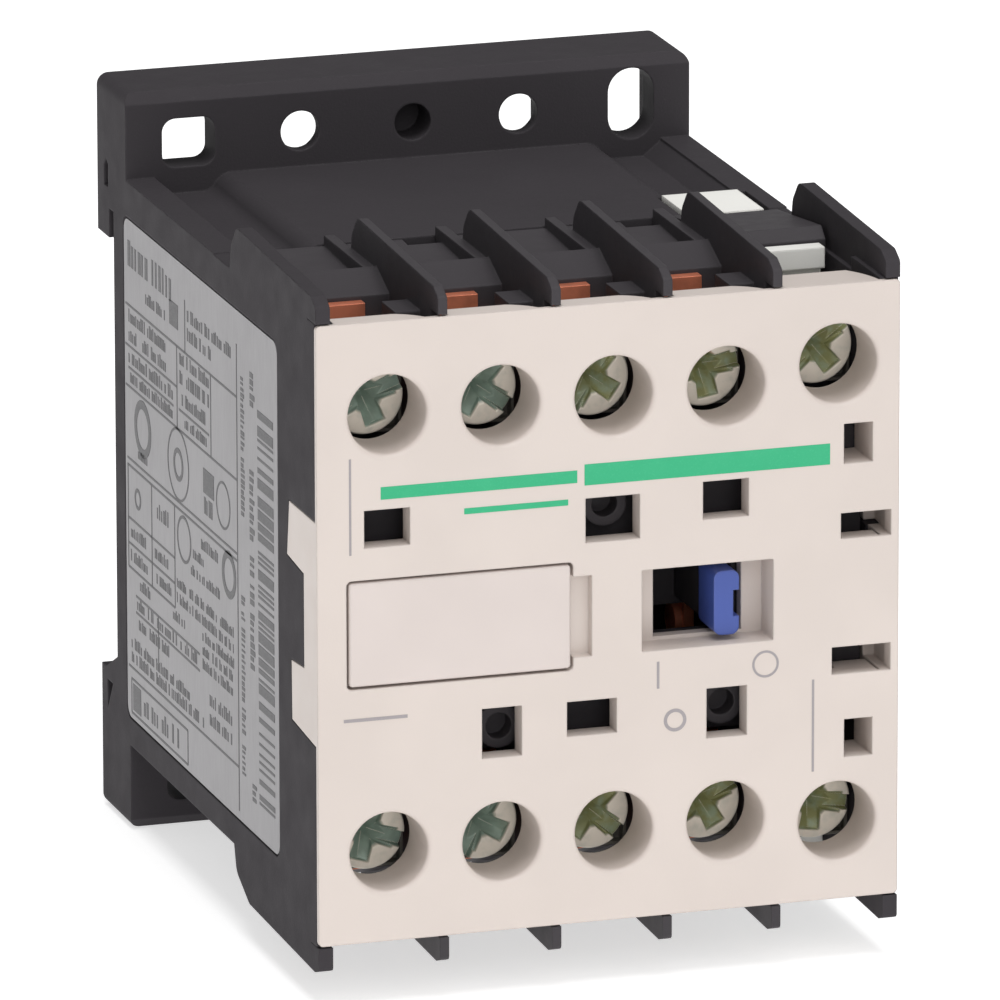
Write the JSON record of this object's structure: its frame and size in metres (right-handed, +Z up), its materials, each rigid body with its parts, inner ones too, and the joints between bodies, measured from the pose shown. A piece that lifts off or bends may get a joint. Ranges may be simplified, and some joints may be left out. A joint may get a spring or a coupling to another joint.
{
  "type": "din rail contactor",
  "caption": "Miniature contactor for rail or panel: cream front with sunk terminal screws, black body with barrier fins, sliding carrier, magnet and coil.",
  "frame": {"origin": "centre of the base's outline on the rear plane that touches a panel; the rail channel opens there", "axes": "+Z up, front face towards -Y, +X to the right seen from the front; the contact carrier slides along X"},
  "size_m": [0.045, 0.057, 0.058],
  "materials": {
    "black_housing": "moulded, fine matt texture",
    "dark_housing": "moulded, fine matt texture",
    "cream_cover": "moulded, satin",
    "marker_white": "moulded, satin",
    "label_foil": "printed polyester foil",
    "latch_plastic": "moulded, satin",
    "spring_steel": "drawn wire",
    "carrier_blue": "moulded, satin",
    "magnet_steel": "stacked sheet",
    "pin_steel": "ground",
    "bobbin_white": "moulded, satin",
    "winding_copper": "enamelled wire",
    "contact_copper": "stamped strip",
    "coil_tag": "tinned strip",
    "screw_zinc": "zinc plated, yellow passivated",
    "clamp_steel": "zinc plated"
  },
  "bodies": {
    "housing": {"base_housing": "black_housing", "contact_housing": "dark_housing", "dividing_plate": "dark_housing", "front_cover": "cream_cover", "side_label": "label_foil", "latch_spring": "spring_steel", "return_spring": "spring_steel", "magnet_core": "magnet_steel", "coil_bobbin": "bobbin_white", "coil_winding": "winding_copper", "coil_terminal_top": "coil_tag", "coil_terminal_bottom": "coil_tag", "fixed_contact_top_1": "contact_copper", "fixed_contact_top_2": "contact_copper", "fixed_contact_top_3": "contact_copper", "fixed_contact_top_4": "contact_copper", "fixed_contact_bottom_1": "contact_copper", "fixed_contact_bottom_2": "contact_copper", "fixed_contact_bottom_3": "contact_copper", "fixed_contact_bottom_4": "contact_copper"},
    "carrier": {"contact_carrier": "dark_housing", "indicator_tab": "carrier_blue", "armature": "magnet_steel", "armature_pin": "pin_steel", "contact_spring_1": "spring_steel", "contact_spring_2": "spring_steel", "contact_spring_3": "spring_steel", "contact_spring_4": "spring_steel"},
    "latch": {"din_latch": "latch_plastic"},
    "marker": {"marker_plate": "marker_white"},
    "bridge_1": {"contact_bridge_1": "contact_copper"},
    "bridge_2": {"contact_bridge_2": "contact_copper"},
    "bridge_3": {"contact_bridge_3": "contact_copper"},
    "bridge_4": {"contact_bridge_4": "contact_copper"},
    "clamp_top_1": {"wire_clamp_top_1": "clamp_steel"},
    "screw_top_1": {"terminal_screw_top_1": "screw_zinc"},
    "clamp_top_2": {"wire_clamp_top_2": "clamp_steel"},
    "screw_top_2": {"terminal_screw_top_2": "screw_zinc"},
    "clamp_top_3": {"wire_clamp_top_3": "clamp_steel"},
    "screw_top_3": {"terminal_screw_top_3": "screw_zinc"},
    "clamp_top_4": {"wire_clamp_top_4": "clamp_steel"},
    "screw_top_4": {"terminal_screw_top_4": "screw_zinc"},
    "clamp_top_5": {"wire_clamp_top_5": "clamp_steel"},
    "screw_top_5": {"terminal_screw_top_5": "screw_zinc"},
    "clamp_bottom_1": {"wire_clamp_bottom_1": "clamp_steel"},
    "screw_bottom_1": {"terminal_screw_bottom_1": "screw_zinc"},
    "clamp_bottom_2": {"wire_clamp_bottom_2": "clamp_steel"},
    "screw_bottom_2": {"terminal_screw_bottom_2": "screw_zinc"},
    "clamp_bottom_3": {"wire_clamp_bottom_3": "clamp_steel"},
    "screw_bottom_3": {"terminal_screw_bottom_3": "screw_zinc"},
    "clamp_bottom_4": {"wire_clamp_bottom_4": "clamp_steel"},
    "screw_bottom_4": {"terminal_screw_bottom_4": "screw_zinc"},
    "clamp_bottom_5": {"wire_clamp_bottom_5": "clamp_steel"},
    "screw_bottom_5": {"terminal_screw_bottom_5": "screw_zinc"}
  },
  "joints": [
    {"name": "carrier_slide", "type": "slide", "parent": "housing", "child": "carrier", "axis": [-1, 0, 0], "range_m": [0, 0.0036], "stiffness_N_per_m": 400, "springref_m": -0.004, "deforming": ["return_spring"]},
    {"name": "bridge_1_overtravel", "type": "slide", "parent": "carrier", "child": "bridge_1", "axis": [1, 0, 0], "range_m": [0, 0.00095], "deforming": ["contact_spring_1"]},
    {"name": "bridge_2_overtravel", "type": "slide", "parent": "carrier", "child": "bridge_2", "axis": [1, 0, 0], "range_m": [0, 0.00095], "deforming": ["contact_spring_2"]},
    {"name": "bridge_3_overtravel", "type": "slide", "parent": "carrier", "child": "bridge_3", "axis": [1, 0, 0], "range_m": [0, 0.00095], "deforming": ["contact_spring_3"]},
    {"name": "bridge_4_overtravel", "type": "slide", "parent": "carrier", "child": "bridge_4", "axis": [1, 0, 0], "range_m": [0, 0.00095], "deforming": ["contact_spring_4"]},
    {"name": "latch_slide", "type": "slide", "parent": "housing", "child": "latch", "axis": [0, 0, -1], "range_m": [0, 0.002], "stiffness_N_per_m": 1500, "springref_m": -0.002, "deforming": ["latch_spring"]},
    {"name": "marker_pull", "type": "slide", "parent": "housing", "child": "marker", "axis": [0, -1, 0], "range_m": [0, 0.008]},
    {"name": "clamp_top_1_travel", "type": "slide", "parent": "housing", "child": "clamp_top_1", "axis": [0, 1, 0], "range_m": [0, 0.00195]},
    {"name": "screw_top_1_turn", "type": "hinge", "parent": "clamp_top_1", "child": "screw_top_1", "pos_m": [-0.017, -0.0492, 0.0161], "axis": [0, 1, 0], "range_deg": [0, 1171]},
    {"name": "clamp_top_2_travel", "type": "slide", "parent": "housing", "child": "clamp_top_2", "axis": [0, 1, 0], "range_m": [0, 0.00195]},
    {"name": "screw_top_2_turn", "type": "hinge", "parent": "clamp_top_2", "child": "screw_top_2", "pos_m": [-0.0083, -0.0492, 0.0161], "axis": [0, 1, 0], "range_deg": [0, 1171]},
    {"name": "clamp_top_3_travel", "type": "slide", "parent": "housing", "child": "clamp_top_3", "axis": [0, 1, 0], "range_m": [0, 0.00195]},
    {"name": "screw_top_3_turn", "type": "hinge", "parent": "clamp_top_3", "child": "screw_top_3", "pos_m": [0.0004, -0.0492, 0.0161], "axis": [0, 1, 0], "range_deg": [0, 1171]},
    {"name": "clamp_top_4_travel", "type": "slide", "parent": "housing", "child": "clamp_top_4", "axis": [0, 1, 0], "range_m": [0, 0.00195]},
    {"name": "screw_top_4_turn", "type": "hinge", "parent": "clamp_top_4", "child": "screw_top_4", "pos_m": [0.0091, -0.0492, 0.0161], "axis": [0, 1, 0], "range_deg": [0, 1171]},
    {"name": "clamp_top_5_travel", "type": "slide", "parent": "housing", "child": "clamp_top_5", "axis": [0, 1, 0], "range_m": [0, 0.00195]},
    {"name": "screw_top_5_turn", "type": "hinge", "parent": "clamp_top_5", "child": "screw_top_5", "pos_m": [0.0178, -0.0492, 0.0171], "axis": [0, 1, 0], "range_deg": [0, 1171]},
    {"name": "clamp_bottom_1_travel", "type": "slide", "parent": "housing", "child": "clamp_bottom_1", "axis": [0, 1, 0], "range_m": [0, 0.00195]},
    {"name": "screw_bottom_1_turn", "type": "hinge", "parent": "clamp_bottom_1", "child": "screw_bottom_1", "pos_m": [-0.017, -0.0492, -0.0172], "axis": [0, 1, 0], "range_deg": [0, 1171]},
    {"name": "clamp_bottom_2_travel", "type": "slide", "parent": "housing", "child": "clamp_bottom_2", "axis": [0, 1, 0], "range_m": [0, 0.00195]},
    {"name": "screw_bottom_2_turn", "type": "hinge", "parent": "clamp_bottom_2", "child": "screw_bottom_2", "pos_m": [-0.0083, -0.0492, -0.0172], "axis": [0, 1, 0], "range_deg": [0, 1171]},
    {"name": "clamp_bottom_3_travel", "type": "slide", "parent": "housing", "child": "clamp_bottom_3", "axis": [0, 1, 0], "range_m": [0, 0.00195]},
    {"name": "screw_bottom_3_turn", "type": "hinge", "parent": "clamp_bottom_3", "child": "screw_bottom_3", "pos_m": [0.0004, -0.0492, -0.0172], "axis": [0, 1, 0], "range_deg": [0, 1171]},
    {"name": "clamp_bottom_4_travel", "type": "slide", "parent": "housing", "child": "clamp_bottom_4", "axis": [0, 1, 0], "range_m": [0, 0.00195]},
    {"name": "screw_bottom_4_turn", "type": "hinge", "parent": "clamp_bottom_4", "child": "screw_bottom_4", "pos_m": [0.0091, -0.0492, -0.0172], "axis": [0, 1, 0], "range_deg": [0, 1171]},
    {"name": "clamp_bottom_5_travel", "type": "slide", "parent": "housing", "child": "clamp_bottom_5", "axis": [0, 1, 0], "range_m": [0, 0.00195]},
    {"name": "screw_bottom_5_turn", "type": "hinge", "parent": "clamp_bottom_5", "child": "screw_bottom_5", "pos_m": [0.0178, -0.0492, -0.018], "axis": [0, 1, 0], "range_deg": [0, 1171]}
  ],
  "couplings": [
    {"joint": "bridge_1_overtravel", "follows": "carrier_slide", "ratio": 0.26},
    {"joint": "bridge_2_overtravel", "follows": "carrier_slide", "ratio": 0.26},
    {"joint": "bridge_3_overtravel", "follows": "carrier_slide", "ratio": 0.26},
    {"joint": "bridge_4_overtravel", "follows": "carrier_slide", "ratio": 0.26},
    {"joint": "screw_top_1_turn", "follows": "clamp_top_1_travel", "rad_per_m": 10472},
    {"joint": "screw_top_2_turn", "follows": "clamp_top_2_travel", "rad_per_m": 10472},
    {"joint": "screw_top_3_turn", "follows": "clamp_top_3_travel", "rad_per_m": 10472},
    {"joint": "screw_top_4_turn", "follows": "clamp_top_4_travel", "rad_per_m": 10472},
    {"joint": "screw_top_5_turn", "follows": "clamp_top_5_travel", "rad_per_m": 10472},
    {"joint": "screw_bottom_1_turn", "follows": "clamp_bottom_1_travel", "rad_per_m": 10472},
    {"joint": "screw_bottom_2_turn", "follows": "clamp_bottom_2_travel", "rad_per_m": 10472},
    {"joint": "screw_bottom_3_turn", "follows": "clamp_bottom_3_travel", "rad_per_m": 10472},
    {"joint": "screw_bottom_4_turn", "follows": "clamp_bottom_4_travel", "rad_per_m": 10472},
    {"joint": "screw_bottom_5_turn", "follows": "clamp_bottom_5_travel", "rad_per_m": 10472}
  ]
}
